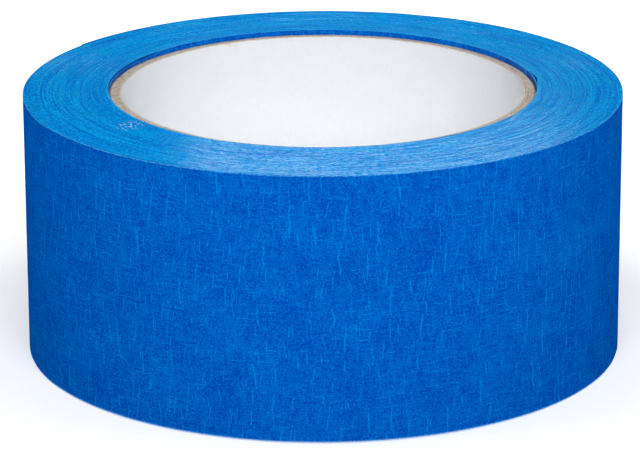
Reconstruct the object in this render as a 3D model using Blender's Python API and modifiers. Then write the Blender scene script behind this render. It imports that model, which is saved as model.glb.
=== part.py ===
"""A roll of crepe masking tape on a spiral-wound paperboard core.

The roll stands on one end face: +Z is the roll's axis and z = 0 is the face it rests on.
All lengths are in metres.  The tape is one strip wound on one spiral.  It is built as four
stretches of that strip: the first wrap on the core, the wound pack, the outermost wrap and
the free end, which peels off about an upright line on the roll's surface.
"""
import math

import bmesh
import bpy
from mathutils import Matrix, Vector

ROLL_NAME = "masking_tape_roll"

# Tape strip and its spiral
TAPE_WIDTH = 0.050
TAPE_THICKNESS = 0.00013
WRAP_PITCH = 0.00015
WHOLE_WRAPS = 108
SEGMENTS = 96
SEGMENT_ANGLE = 2 * math.pi / SEGMENTS
START_SEGMENT = 4
END_SEGMENT = 39
FREE_END_SEGMENTS = 9
END_GAP = 0.0003
TIP_LIFT = 0.0004

# Paperboard core, from the bore outwards
BORE_RADIUS = 0.0381
CORE_LENGTH = 0.0490
CORE_BOTTOM = 0.0005
LINER_THICKNESS = 0.00030
BOARD_THICKNESS = 0.00050
OUTER_PLY_THICKNESS = 0.00025
GLUE_LINE = 0.00005
SEAM_TURN = math.radians(165)
SEAM_WIDTH = 0.0012
SEAM_STEPS = 24

# End faces: flat over the outer wraps, with the inner wraps pushed up along the axis
INNER_WRAP_RISE = 0.0005
FLAT_BAND_RADIUS = 0.048
OUTER_WRAP_RISE = 0.0001

# Name, thickness, where the helical seam starts at the bottom edge, material
CORE_PLIES = (
    ("core_liner", LINER_THICKNESS, math.radians(188), "white_liner"),
    ("core_board_ply_1", BOARD_THICKNESS, math.radians(310), "grey_board"),
    ("core_board_ply_2", BOARD_THICKNESS, math.radians(70), "grey_board"),
    ("core_board_ply_3", BOARD_THICKNESS, math.radians(250), "grey_board"),
    ("core_outer_ply", OUTER_PLY_THICKNESS, math.radians(20), "brown_ply"),
)

CORE_RADIUS = BORE_RADIUS + sum(ply[1] for ply in CORE_PLIES) + GLUE_LINE * (len(CORE_PLIES) - 1)
TAPE_START_RADIUS = CORE_RADIUS + GLUE_LINE
TAPE_START_ANGLE = START_SEGMENT * SEGMENT_ANGLE
WOUND_SEGMENTS = WHOLE_WRAPS * SEGMENTS + END_SEGMENT - START_SEGMENT

MATERIALS = {
    "white_liner": ((0.84, 0.86, 0.88), 0.75),
    "grey_board": ((0.42, 0.38, 0.34), 0.95),
    "brown_ply": ((0.34, 0.25, 0.19), 0.90),
    "blue_crepe": ((0.010, 0.130, 0.560), 0.70),
}


def clear_scene():
    for old in list(bpy.data.objects):
        bpy.data.objects.remove(old, do_unlink=True)


def make_collection(name):
    collection = bpy.data.collections.new(name)
    bpy.context.scene.collection.children.link(collection)
    return collection


def make_material(name, colour, roughness):
    material = bpy.data.materials.new(name)
    material.use_nodes = True
    shader = material.node_tree.nodes["Principled BSDF"]
    shader.inputs["Base Color"].default_value = (*colour, 1.0)
    shader.inputs["Roughness"].default_value = roughness
    shader.inputs["Metallic"].default_value = 0.0
    return material


def add_object(name, bm, collection, material=None):
    mesh = bpy.data.meshes.new(name)
    bm.to_mesh(mesh)
    bm.free()
    obj = bpy.data.objects.new(name, mesh)
    collection.objects.link(obj)
    if material is not None:
        mesh.materials.append(material)
    return obj


def smooth(obj):
    obj.data.shade_smooth()
    obj.data.set_sharp_from_angle(angle=math.radians(40))


def spiral_radius(segments):
    """Radius of the strip's inner surface after so many segments of winding."""
    return TAPE_START_RADIUS + WRAP_PITCH * segments / SEGMENTS


def tube(name, inner, outer, bottom, top, collection, material):
    """A plain tube, turned from its rectangular section."""
    section = bmesh.new()
    corners = [
        section.verts.new((outer, 0, top)),
        section.verts.new((outer, 0, bottom)),
        section.verts.new((inner, 0, bottom)),
        section.verts.new((inner, 0, top)),
    ]
    for here, there in zip(corners, corners[1:] + corners[:1]):
        section.edges.new((here, there))
    obj = add_object(name, section, collection, material)
    turn = obj.modifiers.new("turn", "SCREW")
    turn.axis = "Z"
    turn.angle = 2 * math.pi
    turn.steps = SEGMENTS
    turn.render_steps = SEGMENTS
    turn.use_merge_vertices = True
    turn.merge_threshold = 0.00001
    turn.use_smooth_shade = True
    return obj


def seam_cutter(name, radius, start_angle, collection):
    """A radial blade twisted about the roll's axis, which cuts a ply's helical butt seam."""
    blade_height = CORE_LENGTH * 1.1
    blade_depth = 0.0020
    blade = bmesh.new()
    bmesh.ops.create_cube(blade, size=1.0)
    bmesh.ops.scale(blade, vec=(blade_depth, SEAM_WIDTH, blade_height), verts=blade.verts)
    upright = [edge for edge in blade.edges if abs(edge.verts[0].co.z - edge.verts[1].co.z) > GLUE_LINE]
    bmesh.ops.subdivide_edges(blade, edges=upright, cuts=SEAM_STEPS - 1, use_grid_fill=True)
    bmesh.ops.translate(blade, vec=(radius, 0, 0), verts=blade.verts)
    for vertex in blade.verts:
        twist = Matrix.Rotation(SEAM_TURN * vertex.co.z / CORE_LENGTH, 4, "Z")
        vertex.co = twist @ vertex.co
    cutter = add_object(name, blade, collection)
    cutter.location.z = CORE_BOTTOM + CORE_LENGTH / 2
    cutter.rotation_euler.z = start_angle + SEAM_TURN / 2
    cutter.hide_render = True
    cutter.display_type = "WIRE"
    return cutter


def build_core(parts, cutters, materials):
    """Nested plies, each a board strip laid on a helix whose edges meet at a butt seam."""
    inner = BORE_RADIUS
    for name, thickness, seam_angle, material in CORE_PLIES:
        outer = inner + thickness
        top = CORE_BOTTOM + CORE_LENGTH
        ply = tube(name, inner, outer, CORE_BOTTOM, top, parts, materials[material])
        cutter = seam_cutter(name + "_seam_cutter", (inner + outer) / 2, seam_angle, cutters)
        seam = ply.modifiers.new("seam", "BOOLEAN")
        seam.operation = "DIFFERENCE"
        seam.solver = "EXACT"
        seam.object = cutter
        inner = outer + GLUE_LINE


def wound_strip(name, stations, rise, parts, material, lift=None):
    """A stretch of tape through stations counted in segments from the strip's start."""
    strip = bmesh.new()
    bmesh.ops.create_grid(strip, x_segments=len(stations) - 1, y_segments=1, size=0.5)
    columns = sorted({round(vertex.co.x, 6) for vertex in strip.verts})
    for vertex in strip.verts:
        station = stations[columns.index(round(vertex.co.x, 6))]
        angle = TAPE_START_ANGLE + station * SEGMENT_ANGLE
        radius = spiral_radius(station) + (lift(station) if lift else 0.0)
        height = rise + (TAPE_WIDTH if vertex.co.y > 0 else 0.0)
        vertex.co = (radius * math.cos(angle), radius * math.sin(angle), height)
    bmesh.ops.recalc_face_normals(strip, faces=strip.faces)
    first = next(iter(strip.faces))
    outward = Vector((*first.calc_center_median().xy, 0))
    if first.normal.dot(outward) < 0:
        bmesh.ops.reverse_faces(strip, faces=strip.faces)
    obj = add_object(name, strip, parts, material)
    thickness = obj.modifiers.new("thickness", "SOLIDIFY")
    thickness.thickness = TAPE_THICKNESS
    thickness.offset = 1.0
    smooth(obj)
    return obj


def build_pack(parts, material):
    """The wound body between the first wrap and the outermost one, as one ring."""
    inner_start = SEGMENTS
    outer_start = WOUND_SEGMENTS - SEGMENTS
    clearance = WRAP_PITCH - TAPE_THICKNESS
    inner = spiral_radius(inner_start)
    outer = spiral_radius(outer_start) - clearance
    section = (
        (outer, TAPE_WIDTH),
        (outer, 0.0),
        (FLAT_BAND_RADIUS, 0.0),
        (inner, INNER_WRAP_RISE),
        (inner, INNER_WRAP_RISE + TAPE_WIDTH),
        (FLAT_BAND_RADIUS, TAPE_WIDTH),
    )
    ring = bmesh.new()
    corners = [ring.verts.new((radius, 0, height)) for radius, height in section]
    edges = [ring.edges.new(pair) for pair in zip(corners, corners[1:] + corners[:1])]
    bmesh.ops.spin(
        ring, geom=corners + edges, cent=(0, 0, 0), axis=(0, 0, 1), angle=2 * math.pi, steps=SEGMENTS,
    )
    bmesh.ops.remove_doubles(ring, verts=ring.verts, dist=0.00001)
    bmesh.ops.recalc_face_normals(ring, faces=ring.faces)
    for vertex in ring.verts:
        radius = vertex.co.xy.length
        segment = round(math.atan2(vertex.co.y, vertex.co.x) / SEGMENT_ANGLE)
        if radius < FLAT_BAND_RADIUS - GLUE_LINE:
            wound = (segment - START_SEGMENT) % SEGMENTS
        elif radius > FLAT_BAND_RADIUS + GLUE_LINE:
            wound = (segment - END_SEGMENT) % SEGMENTS
        else:
            continue
        grown = 1 + WRAP_PITCH * wound / SEGMENTS / radius
        vertex.co.x *= grown
        vertex.co.y *= grown
    pack = add_object("tape_wound_pack", ring, parts, material)
    smooth(pack)
    return pack


def build_tape(parts, material):
    wound_strip("tape_first_wrap", range(0, SEGMENTS), INNER_WRAP_RISE, parts, material)
    build_pack(parts, material)

    peel_line = WOUND_SEGMENTS - FREE_END_SEGMENTS
    outer_start = WOUND_SEGMENTS - SEGMENTS
    wound_strip("tape_outer_wrap", range(outer_start, peel_line + 1), OUTER_WRAP_RISE, parts, material)

    gap = END_GAP / (spiral_radius(peel_line) * SEGMENT_ANGLE)
    stations = [peel_line + gap, *range(peel_line + 1, WOUND_SEGMENTS), WOUND_SEGMENTS - gap]

    def lift(station):
        return TIP_LIFT * ((station - peel_line) / FREE_END_SEGMENTS) ** 3

    free_end = wound_strip("tape_free_end", stations, OUTER_WRAP_RISE, parts, material, lift)
    move_origin_to_peel_line(free_end, peel_line)


def move_origin_to_peel_line(obj, peel_line):
    """Put the free end's origin on the upright line that it peels about."""
    angle = TAPE_START_ANGLE + peel_line * SEGMENT_ANGLE
    radius = spiral_radius(peel_line) + TAPE_THICKNESS
    origin = Vector((radius * math.cos(angle), radius * math.sin(angle), 0.0))
    obj.data.transform(Matrix.Translation(-origin))
    obj.location = origin


def main():
    clear_scene()
    parts = make_collection(ROLL_NAME)
    cutters = make_collection("seam_cutters")
    materials = {name: make_material(name, *finish) for name, finish in MATERIALS.items()}
    build_core(parts, cutters, materials)
    build_tape(parts, materials["blue_crepe"])


main()
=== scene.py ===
"""Looks of a roll of blue crepe masking tape on a white-lined paperboard core.

Every length is in metres, in the CAD frame: +Z is the roll's axis and z = 0 is the floor.
The tape is one strip on one spiral, so most pieces here are stretches of that spiral, given
by the angle through which the strip has been wound since its start on the core.
"""
import math

import bpy
import numpy as np
from mathutils import Matrix, Vector


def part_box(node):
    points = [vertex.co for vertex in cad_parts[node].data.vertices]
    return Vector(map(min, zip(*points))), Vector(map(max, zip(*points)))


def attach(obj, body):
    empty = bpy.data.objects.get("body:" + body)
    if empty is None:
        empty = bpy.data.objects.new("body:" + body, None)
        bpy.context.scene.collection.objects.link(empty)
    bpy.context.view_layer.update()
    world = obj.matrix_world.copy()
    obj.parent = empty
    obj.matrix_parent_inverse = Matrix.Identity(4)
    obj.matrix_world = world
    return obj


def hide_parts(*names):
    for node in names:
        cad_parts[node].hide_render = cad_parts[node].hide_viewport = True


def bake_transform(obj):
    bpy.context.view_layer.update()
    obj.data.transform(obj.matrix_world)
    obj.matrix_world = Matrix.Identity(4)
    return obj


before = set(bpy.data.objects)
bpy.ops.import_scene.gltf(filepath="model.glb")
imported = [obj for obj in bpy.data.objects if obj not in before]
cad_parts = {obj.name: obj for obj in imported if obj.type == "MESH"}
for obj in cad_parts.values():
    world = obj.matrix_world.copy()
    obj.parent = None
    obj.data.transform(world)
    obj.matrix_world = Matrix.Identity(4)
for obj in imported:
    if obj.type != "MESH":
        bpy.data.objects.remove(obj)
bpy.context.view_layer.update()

TURN = 2 * math.pi

# The strip's spiral, as in the CAD
WRAP_PITCH = 0.00015
TAPE_THICKNESS = 0.00013
GLUE_LINE = 0.00005
WHOLE_WRAPS = 108
START_AZIMUTH = math.radians(15)
END_AZIMUTH = math.radians(146.25)
FREE_TURN = math.radians(33.75)
WOUND_TURN = TURN * WHOLE_WRAPS + END_AZIMUTH - START_AZIMUTH
START_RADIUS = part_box("core_outer_ply")[1].x + GLUE_LINE

# The free end: how far its tip stands off the roll, the length of its bend at the peel line, how
# rough its torn edge is, and how far back along the strip the roughness reaches
TIP_LIFT = 0.00015
PEEL_BEND = 0.003
TEAR_DEPTH = 0.00025
TEAR_REACH = math.radians(3)

# Heights of the tape's edges, from the CAD
OUTER_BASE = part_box("tape_outer_wrap")[0].z
INNER_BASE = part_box("tape_first_wrap")[0].z
TAPE_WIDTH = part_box("tape_outer_wrap")[1].z - OUTER_BASE
FLAT_BAND_RADIUS = 0.048
RING_RADIUS = 0.048

BORE_RADIUS = 0.0381

# The core's plies, from the bore outwards: CAD node, thickness, azimuth of the seam's lower end,
# material slot
CORE_PLIES = (
    ("core_liner", 0.00030, math.radians(188), "white_liner"),
    ("core_board_ply_1", 0.00050, math.radians(310), "grey_board"),
    ("core_board_ply_2", 0.00050, math.radians(70), "grey_board"),
    ("core_board_ply_3", 0.00050, math.radians(250), "grey_board"),
    ("core_outer_ply", 0.00025, math.radians(20), "brown_ply"),
)
SEAM_TURN = math.radians(165)
SEAM_GAP = 0.0005


# ---------------------------------------------------------------- repeatable random fields

def lattice_noise(u, v, cell_u, cell_v, seed):
    """Smooth noise from -1 to 1 on a random lattice with the given cell sizes."""
    table = np.random.default_rng(seed).uniform(-1, 1, (256, 256))
    u, v = np.broadcast_arrays(u / cell_u, v / cell_v)
    iu, iv = np.floor(u).astype(int), np.floor(v).astype(int)
    tu, tv = u - iu, v - iv
    tu, tv = tu * tu * (3 - 2 * tu), tv * tv * (3 - 2 * tv)
    near, far = iu % 256, (iu + 1) % 256
    low, high = iv % 256, (iv + 1) % 256
    lower = table[near, low] * (1 - tu) + table[far, low] * tu
    upper = table[near, high] * (1 - tu) + table[far, high] * tu
    return lower * (1 - tv) + upper * tv


def hump(value, centre, half_width):
    """A smooth rise from 0 to 1 and back, around a centre."""
    return np.exp(-(((value - centre) / half_width) ** 2))


def plateau(value, start, end, ramp):
    """1 between start and end, falling smoothly to 0 outside."""
    rise = np.clip((value - start) / ramp + 0.5, 0, 1)
    fall = np.clip((end - value) / ramp + 0.5, 0, 1)
    return rise * rise * (3 - 2 * rise) * fall * fall * (3 - 2 * fall)


def turn_from(azimuth, place):
    """The angle from a place to an azimuth, between -pi and pi."""
    return (azimuth - place + math.pi) % TURN - math.pi


# ---------------------------------------------------------------- meshes

def polar(radius, azimuth, height):
    radius, azimuth, height = np.broadcast_arrays(radius, azimuth, height)
    return np.stack([radius * np.cos(azimuth), radius * np.sin(azimuth), height], -1)


def signed_volume(points, quads):
    a, b, c, d = (points[quads[:, i]] for i in range(4))
    halves = np.cross(b, c) + np.cross(c, d)
    return float((a * halves).sum())


def make_mesh(name, points, quads, layout, quad_slots, caps=(), cap_slot=0, sharp_angle=50):
    """A mesh object whose faces point outwards, with two attributes for its materials: strip,
    given by layout as a distance along the piece, one across it, and a mark; and ring, a
    seamless way round the axis at RING_RADIUS with the distance from the axis between."""
    if signed_volume(points, quads) < 0:
        quads = quads[:, ::-1]
        caps = [cap[::-1] for cap in caps]
    mesh = bpy.data.meshes.new(name)
    mesh.from_pydata(points.tolist(), [], quads.tolist() + [list(map(int, cap)) for cap in caps])
    slots = np.concatenate([quad_slots, np.full(len(caps), cap_slot)]).astype(np.int32)
    mesh.polygons.foreach_set("material_index", slots)
    strip = mesh.attributes.new("strip", "FLOAT_VECTOR", "POINT")
    strip.data.foreach_set("vector", np.ascontiguousarray(layout, np.float32).ravel())
    away = np.hypot(points[:, 0], points[:, 1])
    around = points[:, :2] / away[:, None] * RING_RADIUS
    ring = mesh.attributes.new("ring", "FLOAT_VECTOR", "POINT")
    ring_place = np.stack([around[:, 0], away, around[:, 1]], -1)
    ring.data.foreach_set("vector", ring_place.astype(np.float32).ravel())
    mesh.shade_smooth()
    mesh.set_sharp_from_angle(angle=math.radians(sharp_angle))
    obj = bpy.data.objects.new(name, mesh)
    bpy.context.scene.collection.objects.link(obj)
    return obj


def sweep(name, sections, layout, rows, slots):
    """A closed solid through a row of cross-section loops. Each loop runs up one face, over
    the upper rim, down the other face, which has as many rows, and back over the lower rim.
    slots holds the material of each of the four stretches: face, rim, face, rim."""
    stations, loop = sections.shape[:2]
    rim = loop // 2 - rows
    index = np.arange(stations * loop).reshape(stations, loop)
    here, there = index[:-1], index[1:]
    quads = np.stack([here, np.roll(here, -1, 1), np.roll(there, -1, 1), there], -1).reshape(-1, 4)
    stretches = np.repeat(slots, [rows - 1, rim + 1, rows - 1, rim + 1])

    def cap(ring):
        """The end face as a ladder of rungs from one face of the piece to the other."""
        up, down = ring[:rows], ring[rows + rim : 2 * rows + rim][::-1]
        faces = [[up[i], up[i + 1], down[i + 1], down[i]] for i in range(rows - 1)]
        faces[-1] = [up[-2], up[-1], *ring[rows : rows + rim], down[-1], down[-2]]
        faces[0] = [up[0], up[1], down[1], down[0], *ring[2 * rows + rim :]]
        return faces

    caps = [face[::-1] for face in cap(index[0])] + cap(index[-1])
    return make_mesh(
        name, sections.reshape(-1, 3), quads, layout.reshape(-1, 3),
        np.tile(stretches, stations - 1), caps, slots[1],
    )


# ---------------------------------------------------------------- the strip of tape

def inner_face(turn):
    """Radius of the strip's inner face where it has been wound through this angle."""
    return START_RADIUS + WRAP_PITCH * turn / TURN


def wound_length(turn):
    return (START_RADIUS + inner_face(turn)) / 2 * turn


def base_height(radius):
    """How high the lower edge sits: level over the outer wraps, raised towards the core."""
    inward = np.clip((FLAT_BAND_RADIUS - radius) / (FLAT_BAND_RADIUS - START_RADIUS), 0, 1)
    return OUTER_BASE + (INNER_BASE - OUTER_BASE) * inward


def edge_wander(turn):
    """How far the strip wanders along the axis: with its neighbours, and by itself."""
    wrap = turn / TURN
    azimuth = (START_AZIMUTH + turn) % TURN
    bundle = lattice_noise(wrap, azimuth, 4.0, TURN / 8, 11)
    pair = lattice_noise(wrap, azimuth, 1.6, TURN / 16, 12)
    single = lattice_noise(turn, 0.0, math.radians(20), 1.0, 13)
    sunk = np.clip(lattice_noise(turn, 0.0, math.radians(14), 1.0, 14) - 0.62, 0, 1)
    return 0.000012 * bundle + 0.000014 * pair + 0.000024 * single - 0.00030 * sunk


def crepe_relief(along, height):
    """Relief of creped paper: narrow upright wrinkles on broader ones."""
    fine = lattice_noise(along, height, 0.0009, 0.0050, 21)
    middle = lattice_noise(along, height, 0.0019, 0.0065, 22)
    broad = lattice_noise(along, height, 0.0090, 0.0140, 23)
    return 0.000010 * fine + 0.000014 * middle + 0.000020 * broad


BACKING, EDGE, ADHESIVE = range(3)


def strip_piece(name, turns, base, rows, lift=None, top_cut=None, ragged=0.0):
    """A stretch of tape as a thin solid. lift raises it off the roll, top_cut lowers its
    upper edge, and ragged is how rough its last edge is torn. The mark in its layout is 1 along
    both edges and 2 along a torn end."""
    turns = np.asarray(turns)[:, None]
    along = wound_length(turns)
    radius = inner_face(turns) + (lift(turns) if lift else 0.0)
    width = TAPE_WIDTH - (top_cut(turns) if top_cut else 0.0)
    low = base(turns) + edge_wander(turns)
    near_end = np.clip(1 - (turns[-1] - turns) / TEAR_REACH, 0, 1)
    mark = np.zeros((len(turns), rows))
    mark[:, [0, -1]] = 1
    if ragged:
        mark[-1] = 2

    def face(offset):
        height = low + width * np.linspace(0, 1, rows)[None, :]
        relief = crepe_relief(along, height)
        fine_tear = lattice_noise(height, 0.0, 0.0006, 1.0, 31)
        tear = fine_tear + lattice_noise(height, 0.0, 0.0023, 1.0, 32)
        azimuth = START_AZIMUTH + turns + near_end * ragged * tear / radius
        points = polar(radius + relief + offset, azimuth, height)
        return points, np.stack(np.broadcast_arrays(along, height, mark), -1)

    outer, outer_layout = face(TAPE_THICKNESS)
    inner, inner_layout = face(0.0)
    sections = np.concatenate([outer, inner[:, ::-1]], 1)
    layout = np.concatenate([outer_layout, inner_layout[:, ::-1]], 1)
    return sweep(name, sections, layout, rows, (BACKING, EDGE, ADHESIVE, EDGE))


# A short void beside the tape's start, where the second wrap climbs over it
VOID_AZIMUTH = math.radians(7.0)
VOID_HALF_ANGLE = math.radians(3.6)
VOID_DEPTH = 0.00055
VOID_FADE = 0.0012


def void_bulge(radius, azimuth):
    """How far the wraps outside the first one are pushed out around the void."""
    share = hump(turn_from(azimuth, VOID_AZIMUTH), 0, VOID_HALF_ANGLE)
    return VOID_DEPTH * share * np.exp(-(radius - START_RADIUS) / VOID_FADE)


# The shares of the pitch between which a wrap's edge lies
EDGE_START = 0.08
EDGE_END = 0.92


def wound_pack(stations_per_turn=192):
    """Every wrap between the first and the outermost, as one spiral with a step at each wrap."""
    first, last = TURN, WOUND_TURN - TURN
    count = round((last - first) / TURN * stations_per_turn)
    turns = np.linspace(first, last, count + 1)
    azimuth = START_AZIMUTH + turns
    inner = inner_face(turns)
    low = np.maximum(base_height(inner) + edge_wander(turns), 0.0)
    along = wound_length(turns)

    def edge(share, height):
        radius = inner + share * WRAP_PITCH
        points = polar(radius + void_bulge(radius, azimuth), azimuth, height)
        return points, np.stack([along, radius + height, np.zeros_like(height)], -1)

    edges = [
        edge(EDGE_START, low + TAPE_WIDTH),
        edge(EDGE_END, low + TAPE_WIDTH),
        edge(EDGE_START, low),
        edge(EDGE_END, low),
    ]
    points = np.concatenate([points for points, _ in edges])
    layout = np.concatenate([layout for _, layout in edges])
    n, lap = count + 1, stations_per_turn
    quads = []
    for inside, outside in ((0, n), (3 * n, 2 * n)):
        i = np.arange(count)
        quads.append(np.stack([inside + i, outside + i, outside + i + 1, inside + i + 1], -1))
    i = np.arange(count - lap)
    quads.append(np.stack([n + i, lap + i, lap + i + 1, n + i + 1], -1))
    quads.append(np.stack([3 * n + i, 3 * n + i + 1, 2 * n + lap + i + 1, 2 * n + lap + i], -1))
    edge_count = sum(map(len, quads))
    bore = np.concatenate([np.arange(lap + 1), [n]])
    rim = np.concatenate([n + np.arange(count - lap, count + 1), [count]])
    for loop, turned in ((bore, False), (rim, True)):
        onward = np.roll(loop, -1)
        wall = np.stack([loop, onward, onward + 2 * n, loop + 2 * n], -1)
        quads.append(wall[:, ::-1] if turned else wall)
    quads = np.concatenate(quads)
    slots = np.where(np.arange(len(quads)) < edge_count, EDGE, BACKING)
    return make_mesh("wound_pack", points, quads, layout, slots, sharp_angle=12)


# Where the first wrap is sunken, how softly that begins and ends, and how deep it is
SUNKEN_START = math.radians(143)
SUNKEN_END = math.radians(184)
SUNKEN_RAMP = math.radians(7)
SUNKEN_DEPTH = 0.00042

NICK_AZIMUTH = math.radians(-29.7)
NICK_HALF_ANGLE = math.radians(0.45)
NICK_DEPTH = 0.00022


def sunken_first_wrap(turns):
    """The first wrap sits lower than the rest on one side of the core."""
    azimuth = (START_AZIMUTH + turns) % TURN
    sunken = plateau(azimuth, SUNKEN_START, SUNKEN_END, SUNKEN_RAMP)
    return INNER_BASE - SUNKEN_DEPTH * sunken


def level_base(turns):
    """The outermost wrap and the free end stand at one height."""
    return OUTER_BASE


def nicked_edge(turns):
    """A small nick in the outermost wrap's upper edge."""
    away = turn_from(START_AZIMUTH + turns, NICK_AZIMUTH)
    return NICK_DEPTH * hump(away, 0, NICK_HALF_ANGLE)


def build_tape():
    pieces = [strip_piece("first_wrap", np.linspace(0, TURN, 481), sunken_first_wrap, 41)]
    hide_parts("tape_first_wrap")
    pieces.append(wound_pack())
    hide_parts("tape_wound_pack")

    start, peel = WOUND_TURN - TURN, WOUND_TURN - FREE_TURN
    bounds = np.linspace(start, peel, 5)
    for number, (begin, end) in enumerate(zip(bounds, bounds[1:]), 1):
        turns = np.linspace(begin, end, 271)
        wrap = strip_piece(f"outer_wrap_{number}", turns, level_base, 81, top_cut=nicked_edge)
        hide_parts("tape_outer_wrap")
        pieces.append(wrap)
    for piece in pieces:
        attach(piece, "roll")

    def lift(turns):
        return TIP_LIFT * ((turns - peel) / FREE_TURN) ** 3

    bend_end = peel + PEEL_BEND / inner_face(peel)
    bend = np.linspace(peel, bend_end, 31)
    beyond = np.linspace(bend_end, WOUND_TURN, 111)[1:]
    turns = np.concatenate([bend, beyond])
    free_end = strip_piece("free_end", turns, level_base, 81, lift=lift, ragged=TEAR_DEPTH)
    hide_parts("tape_free_end")
    return pieces, free_end


# ---------------------------------------------------------------- the core

CORE_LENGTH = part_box("core_liner")[1].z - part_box("core_liner")[0].z
CORE_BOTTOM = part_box("core_liner")[0].z

# The cut edges: how far the upper one slopes down outwards, how rough both are, and the share of
# the length within which a ply's face meets them
CUT_SLOPE = 0.00030
CUT_ROUGHNESS = 0.00003
CUT_BURR = 0.0012
INNER_FACE_WAVE = 0.00003

NOTCH_AZIMUTH = math.radians(165)
NOTCH_HALF_ANGLE = math.radians(1.1)
NOTCH_DEPTH = 0.00035

# The torn spot in the liner, as a mark that the material reads
TORN_AZIMUTH = math.radians(119)
TORN_HALF_ANGLE = math.radians(1.7)
TORN_DEPTH = 0.0006
TORN_MARK = 0.63


def core_ply(name, inner, outer, seam_azimuth, stations, rows):
    """One paper ply of the core: wound on a slant, so that it closes along a slanted seam, with
    a slightly rough cut edge at each end. The upper cut slopes down outwards and has a notch."""
    u = np.linspace(0, TURN - SEAM_GAP / inner, stations)[:, None]
    shares = np.linspace(0, 1, rows)
    shares[[1, -2]] = CUT_BURR, 1 - CUT_BURR

    def face(radius, v, wave=0.0, rim=False):
        azimuth = seam_azimuth + SEAM_TURN * v + u
        around = inner * azimuth
        fine_cut = lattice_noise(around, radius, 0.0007, 0.0004, 41)
        cut = fine_cut + lattice_noise(around, radius, 0.003, 0.0006, 42)
        notch = hump(turn_from(azimuth, NOTCH_AZIMUTH), 0, NOTCH_HALF_ANGLE)
        height = np.full_like(azimuth, CORE_BOTTOM + CORE_LENGTH * v)
        if v == 1:
            slope = CUT_SLOPE * (START_RADIUS - radius) / (START_RADIUS - BORE_RADIUS)
            height += slope + CUT_ROUGHNESS * cut - NOTCH_DEPTH * notch
        if v == 0:
            height += CUT_ROUGHNESS * cut
        bump = wave * lattice_noise(around, height, 0.012, 0.016, 43)
        torn = hump(turn_from(azimuth, TORN_AZIMUTH), 0, TORN_HALF_ANGLE)
        torn_mark = TORN_MARK * torn * hump(height, CORE_BOTTOM + CORE_LENGTH, TORN_DEPTH)
        mark = 1.0 if rim or v in (0, 1) else torn_mark
        points = polar(radius + bump, azimuth, height)
        return points, np.stack(np.broadcast_arrays(around, height, mark), -1)

    across = inner + (outer - inner) * np.linspace(0, 1, 4)[1:-1]
    parts = [face(inner, v, INNER_FACE_WAVE) for v in shares]
    parts += [face(radius, 1.0, rim=True) for radius in across]
    parts += [face(outer, v) for v in shares[::-1]]
    parts += [face(radius, 0.0, rim=True) for radius in across[::-1]]
    sections = np.stack([np.broadcast_to(points[:, 0], (stations, 3)) for points, _ in parts], 1)
    layout = np.stack([np.broadcast_to(strip[:, 0], (stations, 3)) for _, strip in parts], 1)
    return sweep(name, sections, layout, rows, (0, 0, 0, 0))


def build_core():
    pieces = []
    outer = START_RADIUS
    for node, thickness, seam_azimuth, slot in reversed(CORE_PLIES):
        outer -= GLUE_LINE
        name = node.removeprefix("core_")
        piece = core_ply(name, outer - thickness, outer, seam_azimuth, 481, 49)
        outer -= thickness
        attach(piece, "roll")
        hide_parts(node)
        pieces.append(piece)
    return pieces


# ---------------------------------------------------------------- materials

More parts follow.
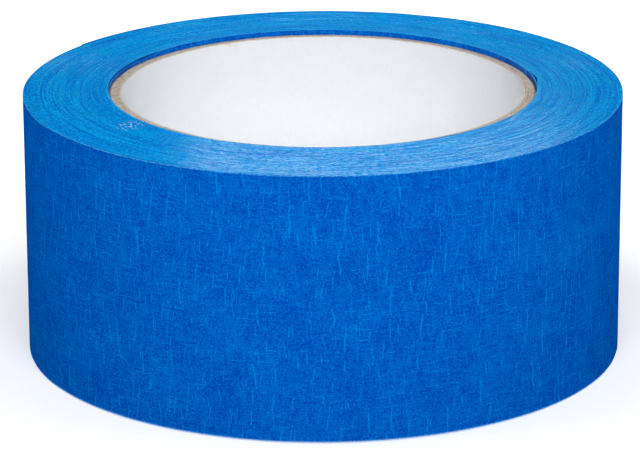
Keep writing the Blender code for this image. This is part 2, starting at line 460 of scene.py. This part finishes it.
class Look:
    """A material built node by node, on coordinates along and across the strip in millimetres."""

    def __init__(self, name, roughness, specular, specular_tint=(1, 1, 1), layout="strip"):
        self.material = bpy.data.materials.new(name)
        self.material.use_nodes = True
        self.tree = self.material.node_tree
        self.shader = self.tree.nodes["Principled BSDF"]
        self.set("Roughness", roughness)
        self.set("Specular IOR Level", specular)
        self.set("Specular Tint", (*specular_tint, 1))
        strip = self.node("ShaderNodeAttribute", attribute_name="strip").outputs["Vector"]
        self.mark = self.node("ShaderNodeSeparateXYZ", {0: strip}).outputs[2]
        place = self.node("ShaderNodeAttribute", attribute_name=layout).outputs["Vector"]
        in_mm = (1000, 1000, 0 if layout == "strip" else 1000)
        self.place = self.node("ShaderNodeVectorMath", {0: place, 1: in_mm}, operation="MULTIPLY").outputs[0]

    def node(self, kind, inputs=None, **settings):
        node = self.tree.nodes.new(kind)
        for key, value in settings.items():
            setattr(node, key, value)
        for socket, value in (inputs or {}).items():
            if isinstance(value, bpy.types.NodeSocket):
                self.tree.links.new(value, node.inputs[socket])
            else:
                node.inputs[socket].default_value = value
        return node

    def set(self, socket, value):
        if isinstance(value, bpy.types.NodeSocket):
            self.tree.links.new(value, self.shader.inputs[socket])
        else:
            self.shader.inputs[socket].default_value = value

    def math(self, operation, a, b=0.0, clamp=False):
        return self.node("ShaderNodeMath", {0: a, 1: b}, operation=operation, use_clamp=clamp).outputs[0]

    def stretched(self, cell_along, cell_across, offset=0.0):
        """The place divided by a cell size, moved so that two patterns never match."""
        scale = (1 / cell_along, 1 / cell_across, 1 / cell_along)
        location = (offset, offset * 1.7, offset * 0.6)
        inputs = {"Vector": self.place, "Scale": scale, "Location": location}
        return self.node("ShaderNodeMapping", inputs, vector_type="POINT").outputs[0]

    def noise(self, cell_along, cell_across, offset=0.0, detail=2.0):
        """Cloudy noise around 0.5, about one blob in each cell."""
        place = self.stretched(cell_along, cell_across, offset)
        inputs = {"Vector": place, "Scale": 1.0, "Detail": detail, "Roughness": 0.55}
        return self.node("ShaderNodeTexNoise", inputs, noise_dimensions="3D").outputs[0]

    def step(self, value, low, high):
        """0 at low, 1 at high, smooth between; low may be above high."""
        inputs = {"Value": value, "From Min": low, "From Max": high}
        return self.node("ShaderNodeMapRange", inputs, interpolation_type="SMOOTHSTEP").outputs[0]

    def spread(self, value, low, high):
        """Noise around 0.5 spread over low to high."""
        inputs = {"Value": value, "From Min": 0.3, "From Max": 0.7, "To Min": low, "To Max": high}
        return self.node("ShaderNodeMapRange", inputs, clamp=True).outputs[0]

    def mix(self, factor, a, b):
        """From colour a to colour b."""
        node = self.node("ShaderNodeMix", data_type="RGBA")
        for socket, value in ((node.inputs[0], factor), (node.inputs[6], a), (node.inputs[7], b)):
            if isinstance(value, bpy.types.NodeSocket):
                self.tree.links.new(value, socket)
            else:
                socket.default_value = (*value, 1) if isinstance(value, tuple) else value
        return node.outputs[2]

    def lines(self, cell_along, cell_across, width, length, offset, tilt=0.15, along=False):
        """Short separate lines, each near the middle of its own random cell. They run across
        the strip, or along it."""
        wave = self.noise(2.5, 2.5, offset + 3.0, detail=1.0)
        wave = self.math("MULTIPLY", self.math("SUBTRACT", wave, 0.5), 0.25)
        shift = self.node("ShaderNodeCombineXYZ", {0: wave, 1: wave}).outputs[0]
        place = self.stretched(cell_along, cell_across, offset)
        moved = self.node("ShaderNodeVectorMath", {0: place, 1: shift}, operation="ADD").outputs[0]
        flat = self.node("ShaderNodeVectorMath", {0: moved, 1: (1, 1, 0)}, operation="MULTIPLY").outputs[0]
        inputs = {"Vector": flat, "Scale": 1.0, "Randomness": 1.0}
        cells = self.node("ShaderNodeTexVoronoi", inputs, voronoi_dimensions="3D", feature="F1")
        inputs = {0: flat, 1: cells.outputs["Position"]}
        away = self.node("ShaderNodeVectorMath", inputs, operation="SUBTRACT")
        away = self.node("ShaderNodeSeparateXYZ", {0: away.outputs[0]})
        across_cell = self.math("MULTIPLY", away.outputs[0], cell_along)
        along_cell = self.math("MULTIPLY", away.outputs[1], cell_across)
        if along:
            across_cell, along_cell = along_cell, across_cell
        random = self.node("ShaderNodeSeparateColor", {0: cells.outputs["Color"]})
        lean = self.math("MULTIPLY", self.math("SUBTRACT", random.outputs[0], 0.5), 2 * tilt)
        leant = self.math("ADD", across_cell, self.math("MULTIPLY", along_cell, lean))
        off_line = self.math("ABSOLUTE", leant)
        reach = self.math("MULTIPLY", self.math("ADD", random.outputs[1], 0.4), length / 2)
        past_end = self.math("DIVIDE", self.math("ABSOLUTE", along_cell), reach)
        line = self.math("MULTIPLY", self.step(off_line, width, width * 0.2), self.step(past_end, 1.0, 0.6))
        return self.math("MULTIPLY", line, self.math("ADD", random.outputs[2], 0.15, clamp=True))

    def relief(self, height, distance, strength=1.0):
        """Bump from a height between 0 and 1, with the real depth in metres."""
        inputs = {"Height": height, "Distance": distance, "Strength": strength}
        self.set("Normal", self.node("ShaderNodeBump", inputs).outputs[0])


CREPE_SHADE = (0.000, 0.042, 0.315)
CREPE_MIDDLE = (0.000, 0.111, 0.442)
CREPE_LIGHT = (0.000, 0.204, 0.570)
# The slit edges' blues, lighter than the crepe's: partly their paler cut fibres, partly painted light for
# the stronger light on the end faces. EDGE_LIGHT is also the pale fibres' colour.
EDGE_SHADE = (0.000, 0.130, 0.610)
EDGE_MIDDLE = (0.000, 0.410, 0.810)
EDGE_LIGHT = (0.110, 0.590, 1.000)
ADHESIVE_SHADE = (0.000, 0.068, 0.480)
ADHESIVE_LIGHT = (0.000, 0.210, 0.820)
BLUE_GLOSS = (0.4, 0.8, 1.0)
SCUFF_PALE = (0.52, 0.66, 0.82)
LINER_SHADE = (0.86, 0.875, 0.91)
LINER_LIGHT = (0.90, 0.915, 0.945)
LINER_TORN = (0.76, 0.70, 0.60)
LINER_CUT = (0.56, 0.50, 0.42)
BOARD_PALE = (0.54, 0.48, 0.41)
BOARD_DARK = (0.34, 0.29, 0.235)
BROWN_PALE = (0.40, 0.30, 0.22)
BROWN_DARK = (0.24, 0.17, 0.12)
BOARD_FIBRE = 0.35


def crepe_backing():
    """The coloured face: creped paper with upright wrinkles, short dashes and fine mottling."""
    look = Look("blue_crepe_backing", 0.7, 0.0)
    long_wrinkles = look.lines(3.6, 7.0, 0.19, 5.5, 0.0)
    short_wrinkles = look.lines(2.4, 4.5, 0.15, 3.2, 37.0, 0.25)
    wrinkles = look.math("MAXIMUM", long_wrinkles, short_wrinkles)
    bundle = look.step(look.noise(9.0, 6.0, 127.0, detail=1.0), 0.46, 0.56)
    bundled = look.lines(4.0, 1.7, 0.11, 3.4, 113.0, 0.05, along=True)
    bundled = look.math("MULTIPLY", bundled, bundle)
    dashes = look.lines(7.0, 5.0, 0.12, 3.0, 71.0, 0.08, along=True)
    dashes = look.math("MAXIMUM", dashes, bundled)
    dark_dashes = look.lines(6.0, 4.0, 0.14, 3.0, 93.0, 0.10, along=True)
    grain = look.noise(0.36, 0.42, 5.0, detail=2.0)
    streaks = look.noise(0.7, 2.6, 11.0, detail=1.0)
    weft = look.noise(3.0, 0.6, 17.0, detail=1.0)
    cloud = look.noise(7.0, 7.0, 23.0, detail=2.0)
    fine_weft = look.noise(1.8, 0.26, 67.0, detail=1.0)
    shade = look.math("ADD", look.spread(grain, -0.60, 0.60), look.spread(streaks, -0.18, 0.18))
    wefts = look.math("ADD", look.spread(weft, -0.14, 0.14), look.spread(fine_weft, -0.16, 0.16))
    shade = look.math("ADD", shade, wefts)
    shade = look.math("ADD", shade, look.spread(cloud, 0.35, 0.65), clamp=True)
    colour = look.mix(shade, CREPE_SHADE, CREPE_MIDDLE)
    light = look.math("MULTIPLY", look.math("MAXIMUM", wrinkles, dashes), look.spread(grain, 0.35, 0.95))
    sparkle = look.step(look.noise(0.30, 0.30, 139.0, detail=1.0), 0.62, 0.78)
    light = look.math("MAXIMUM", light, look.math("MULTIPLY", sparkle, 0.7))
    colour = look.mix(light, colour, CREPE_LIGHT)
    colour = look.mix(look.math("MULTIPLY", dark_dashes, 0.5), colour, CREPE_SHADE)
    # A pale line along both rims of the face: partly frayed fibres, partly a painted highlight where the rim
    # catches the light. The torn end's paler edge is its fibres' own colour.
    frayed_and_highlight = look.math("MULTIPLY", look.step(look.mark, 0.5, 1.0), look.spread(grain, 0.0, 0.5))
    torn = look.math("MULTIPLY", look.step(look.mark, 1.1, 1.8), 0.7)
    colour = look.mix(look.math("MAXIMUM", frayed_and_highlight, torn), colour, EDGE_LIGHT)
    look.set("Base Color", colour)
    height = look.math("ADD", look.math("MULTIPLY", wrinkles, 0.6), look.math("MULTIPLY", streaks, 0.5))
    height = look.math("ADD", height, look.math("MULTIPLY", grain, 0.35))
    look.relief(height, 0.00006, 0.6)
    return look.material


# A scuffed spot on the inner wraps, and its place in the ring attribute, in millimetres
SCUFF_AZIMUTH = math.radians(216)
SCUFF_RADIUS = 0.0434
SCUFF_PLACE = (
    1000 * RING_RADIUS * math.cos(SCUFF_AZIMUTH),
    1000 * SCUFF_RADIUS,
    1000 * RING_RADIUS * math.sin(SCUFF_AZIMUTH),
)


def tape_edges():
    """The slit edges of the wraps, in blues lighter than the crepe's, partly for their paler cut
    fibres and partly as painted light: long concentric streaks, painted shade in the narrow space
    between one wrap and the next, fine specks, and pale fibres, most of them on the innermost and
    outermost edges, which lie loosest and carry a painted highlight too."""
    look = Look("blue_crepe_edges", 0.15, 0.30, BLUE_GLOSS, layout="ring")
    groups = look.noise(40.0, 0.80, 3.0, detail=1.0)
    streaks = look.noise(14.0, 0.25, 9.0, detail=1.0)
    specks = look.noise(0.34, 0.38, 15.0, detail=2.0)
    shade = look.math("ADD", look.spread(groups, -0.08, 0.08), look.spread(streaks, -0.30, 0.30))
    shade = look.math("ADD", shade, look.spread(specks, 0.02, 1.08), clamp=True)
    # Lighter than the crepe's blue: partly the cut fibres' colour, partly painted light for the end faces.
    colour = look.mix(shade, EDGE_SHADE, EDGE_MIDDLE)
    # Painted shade: the narrow space between one wrap and the next is darkened towards EDGE_SHADE, and is
    # also cut into the bump.
    shaded_gaps = look.step(look.noise(26.0, 0.30, 41.0, detail=1.0), 0.41, 0.34)
    shaded_gaps = look.math("MULTIPLY", shaded_gaps, look.spread(specks, 0.3, 1.2))
    colour = look.mix(look.math("MULTIPLY", shaded_gaps, 0.8, clamp=True), colour, EDGE_SHADE)
    fibres = look.noise(0.50, 0.45, 29.0, detail=1.0)
    crowd = look.spread(look.noise(9.0, 5.0, 57.0, detail=1.0), 0.1, 1.0)
    pale = look.math("MULTIPLY", look.step(fibres, 0.67, 0.77), crowd)
    radius = look.node("ShaderNodeSeparateXYZ", {0: look.place}).outputs[1]
    innermost = look.step(radius, 1000 * START_RADIUS + 0.7, 1000 * START_RADIUS + 0.3)
    # Pale fibres on the innermost and outermost edges, with a painted highlight along those rims as well.
    loose_fibres_and_highlight = look.math("MAXIMUM", look.mark, innermost)
    loose_fibres_and_highlight = look.math("MULTIPLY", loose_fibres_and_highlight, look.spread(fibres, 0.0, 0.5))
    colour = look.mix(look.math("MAXIMUM", pale, loose_fibres_and_highlight), colour, EDGE_LIGHT)
    away = look.node("ShaderNodeVectorMath", {0: look.place, 1: SCUFF_PLACE}, operation="DISTANCE")
    scuffed = look.math("MULTIPLY", look.step(away.outputs["Value"], 3.6, 0.8), 0.9)
    scuffed = look.math("MULTIPLY", scuffed, look.step(look.noise(0.9, 0.28, 61.0), 0.56, 0.63))
    colour = look.mix(scuffed, colour, SCUFF_PALE)
    look.set("Base Color", colour)
    height = look.math("ADD", look.math("MULTIPLY", specks, 0.7), look.math("MULTIPLY", streaks, 0.5))
    look.relief(look.math("SUBTRACT", height, look.math("MULTIPLY", shaded_gaps, 0.4)), 0.00002, 1.0)
    glints = look.noise(0.50, 0.60, 101.0, detail=2.0)
    bands = look.spread(streaks, -0.10, 0.10)
    gloss = look.math("ADD", look.spread(glints, -0.60, 1.20), bands, clamp=True)
    look.set("Specular IOR Level", gloss)
    return look.material


def adhesive_side():
    """The sticky side: the crepe's blue, a little glossier under a clear film of adhesive."""
    look = Look("blue_crepe_adhesive", 0.45, 0.08, BLUE_GLOSS)
    ripples = look.noise(0.8, 3.0, 13.0, detail=2.0)
    specks = look.noise(0.45, 0.55, 21.0, detail=2.0)
    cloud = look.noise(5.0, 5.0, 27.0, detail=2.0)
    shade = look.math("ADD", look.spread(ripples, -0.2, 0.2), look.spread(cloud, -0.15, 0.15))
    shade = look.math("ADD", shade, look.spread(specks, 0.0, 1.0), clamp=True)
    look.set("Base Color", look.mix(shade, ADHESIVE_SHADE, ADHESIVE_LIGHT))
    look.relief(ripples, 0.00006, 0.6)
    return look.material


def white_paper():
    """The liner: smooth white paper, cream where its face is torn away."""
    look = Look("white_liner_paper", 0.55, 0.3)
    cloud = look.noise(6.0, 6.0, 2.0, detail=3.0)
    fibres = look.noise(0.5, 1.4, 8.0, detail=2.0)
    shade = look.math("ADD", look.spread(cloud, -0.2, 0.2), look.spread(fibres, 0.2, 0.8), clamp=True)
    colour = look.mix(shade, LINER_SHADE, LINER_LIGHT)
    ragged = look.math("ADD", look.mark, look.spread(look.noise(0.7, 0.5, 31.0), -0.25, 0.25))
    colour = look.mix(look.step(ragged, 0.42, 0.52), colour, LINER_TORN)
    look.set("Base Color", look.mix(look.step(look.mark, 0.80, 0.95), colour, LINER_CUT))
    look.relief(look.math("ADD", fibres, look.math("MULTIPLY", cloud, 0.6)), 0.00004, 0.5)
    return look.material


def paperboard(name, pale, dark, cell):
    """Grey or brown board: short fibres lying along the ply, with darker flecks."""
    look = Look(name, 0.85, 0.2)
    fibres = look.noise(cell * 3.0, cell, 4.0, detail=3.0)
    flecks = look.noise(cell * 1.5, cell * 0.8, 19.0, detail=1.0)
    colour = look.mix(look.spread(fibres, 0.0, 1.0), dark, pale)
    colour = look.mix(look.step(flecks, 0.66, 0.74), colour, tuple(0.6 * channel for channel in dark))
    look.set("Base Color", colour)
    look.relief(fibres, 0.00010, 0.8)
    return look.material


# ---------------------------------------------------------------- scene

FLOOR_SIZE = 40.0
# Two factors of the floor's glow, each rising with the distance from the axis: none inside the
# bore, and more far away. Distance where it starts and ends, and its two values
FLOOR_GLOW = ((0.042, 0.054, 0.0, 1.0), (0.07, 0.45, 0.25, 1.0))


def add_camera():
    """A long lens a little above the roll, looking at its middle."""
    lens, distance, elevation, roll = 219.7, 0.7483, math.radians(17.98), math.radians(-0.209)
    aim = Vector((-0.00058, 0.0, 0.02192))
    data = bpy.data.cameras.new("camera")
    data.lens, data.sensor_width = lens, 36.0
    camera = bpy.data.objects.new("camera", data)
    bpy.context.scene.collection.objects.link(camera)
    forward = Vector((0, math.cos(elevation), -math.sin(elevation)))
    up = Vector((0, math.sin(elevation), math.cos(elevation)))
    side = math.cos(roll) * Vector((1, 0, 0)) + math.sin(roll) * up
    top = math.cos(roll) * up - math.sin(roll) * Vector((1, 0, 0))
    rotation = Matrix((side, top, -forward)).transposed().to_4x4()
    camera.matrix_world = Matrix.Translation(aim - distance * forward) @ rotation
    bpy.context.scene.camera = camera


def add_softbox(name, place, aim, size, power, colour=(1, 1, 1)):
    data = bpy.data.lights.new(name, "AREA")
    data.shape = "RECTANGLE"
    data.size, data.size_y = size
    data.energy, data.color = power, colour
    light = bpy.data.objects.new(name, data)
    bpy.context.scene.collection.objects.link(light)
    light.location = place
    light.rotation_euler = (Vector(aim) - Vector(place)).to_track_quat("-Z", "Y").to_euler()
    light.visible_camera = False


def add_room():
    """A room that is white down at the horizon and dim higher up."""
    world = bpy.data.worlds.new("room")
    world.use_nodes = True
    nodes, links = world.node_tree.nodes, world.node_tree.links
    parts = nodes.new("ShaderNodeSeparateXYZ")
    links.new(nodes.new("ShaderNodeTexCoord").outputs["Generated"], parts.inputs[0])
    fade = nodes.new("ShaderNodeMapRange")
    for socket, value in (("From Min", 0.009), ("From Max", 0.018), ("To Min", 1.0), ("To Max", 0.02)):
        fade.inputs[socket].default_value = value
    links.new(parts.outputs["Z"], fade.inputs["Value"])
    background = nodes["Background"]
    background.inputs["Color"].default_value = (1, 1, 1, 1)
    links.new(fade.outputs[0], background.inputs["Strength"])
    bpy.context.scene.world = world


def add_floor():
    """A plain white floor. It glows more with distance, so that it stays white all round, and not
    at all inside the bore, where a glow would light the liner from below."""
    bpy.ops.mesh.primitive_plane_add(size=FLOOR_SIZE, location=(0, 0, -0.0002))
    floor = bpy.context.object
    floor.name = "floor"
    material = bpy.data.materials.new("floor_white")
    material.use_nodes = True
    nodes, links = material.node_tree.nodes, material.node_tree.links
    shader = nodes["Principled BSDF"]
    shader.inputs["Base Color"].default_value = (0.9, 0.9, 0.9, 1)
    shader.inputs["Roughness"].default_value = 0.9
    shader.inputs["Emission Color"].default_value = (1, 1, 1, 1)
    away = nodes.new("ShaderNodeVectorMath")
    away.operation = "LENGTH"
    links.new(nodes.new("ShaderNodeTexCoord").outputs["Object"], away.inputs[0])
    glow = nodes.new("ShaderNodeMath")
    glow.operation = "MULTIPLY"
    for number, (near, far, low, high) in enumerate(FLOOR_GLOW):
        ramp = nodes.new("ShaderNodeMapRange")
        for socket, value in (("From Min", near), ("From Max", far), ("To Min", low), ("To Max", high)):
            ramp.inputs[socket].default_value = value
        links.new(away.outputs["Value"], ramp.inputs["Value"])
        links.new(ramp.outputs[0], glow.inputs[number])
    links.new(glow.outputs[0], shader.inputs["Emission Strength"])
    floor.data.materials.append(material)


def add_studio():
    """A plain white floor and room, a broad key light in front, softer lights above and at both
    sides, and a small low one behind whose reflection gives the end ring its sheen."""
    add_floor()
    add_room()
    middle = (0, 0, 0.03)
    add_softbox("key", (0.06, -1.0, 0.68), middle, (0.9, 0.8), 12.2)
    add_softbox("top", (0, 0, 1.3), middle, (0.8, 0.8), 3.1)
    add_softbox("left", (-0.6, 0, 1.1), middle, (0.5, 0.5), 3.6)
    add_softbox("right", (0.6, 0, 1.1), middle, (0.5, 0.5), 3.5)
    front_edge = (0, -0.03, 0.05)
    add_softbox("sheen", (0.014, 0.15, 0.121), front_edge, (0.09, 0.02), 0.0173, (0.95, 1.0, 0.95))
    bpy.context.scene.view_settings.view_transform = "Standard"


def main():
    tape, free_end = build_tape()
    core = build_core()
    tape_looks = (crepe_backing(), tape_edges(), adhesive_side())
    for piece in tape + [free_end]:
        for material in tape_looks:
            piece.data.materials.append(material)
    papers = {
        "white_liner": white_paper(),
        "grey_board": paperboard("grey_board_fibres", BOARD_PALE, BOARD_DARK, BOARD_FIBRE),
        "brown_ply": paperboard("brown_ply_fibres", BROWN_PALE, BROWN_DARK, BOARD_FIBRE),
    }
    for piece, (_, _, _, slot) in zip(core, reversed(CORE_PLIES)):
        piece.data.materials.append(papers[slot])

    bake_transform(free_end)
    add_camera()
    add_studio()


main()
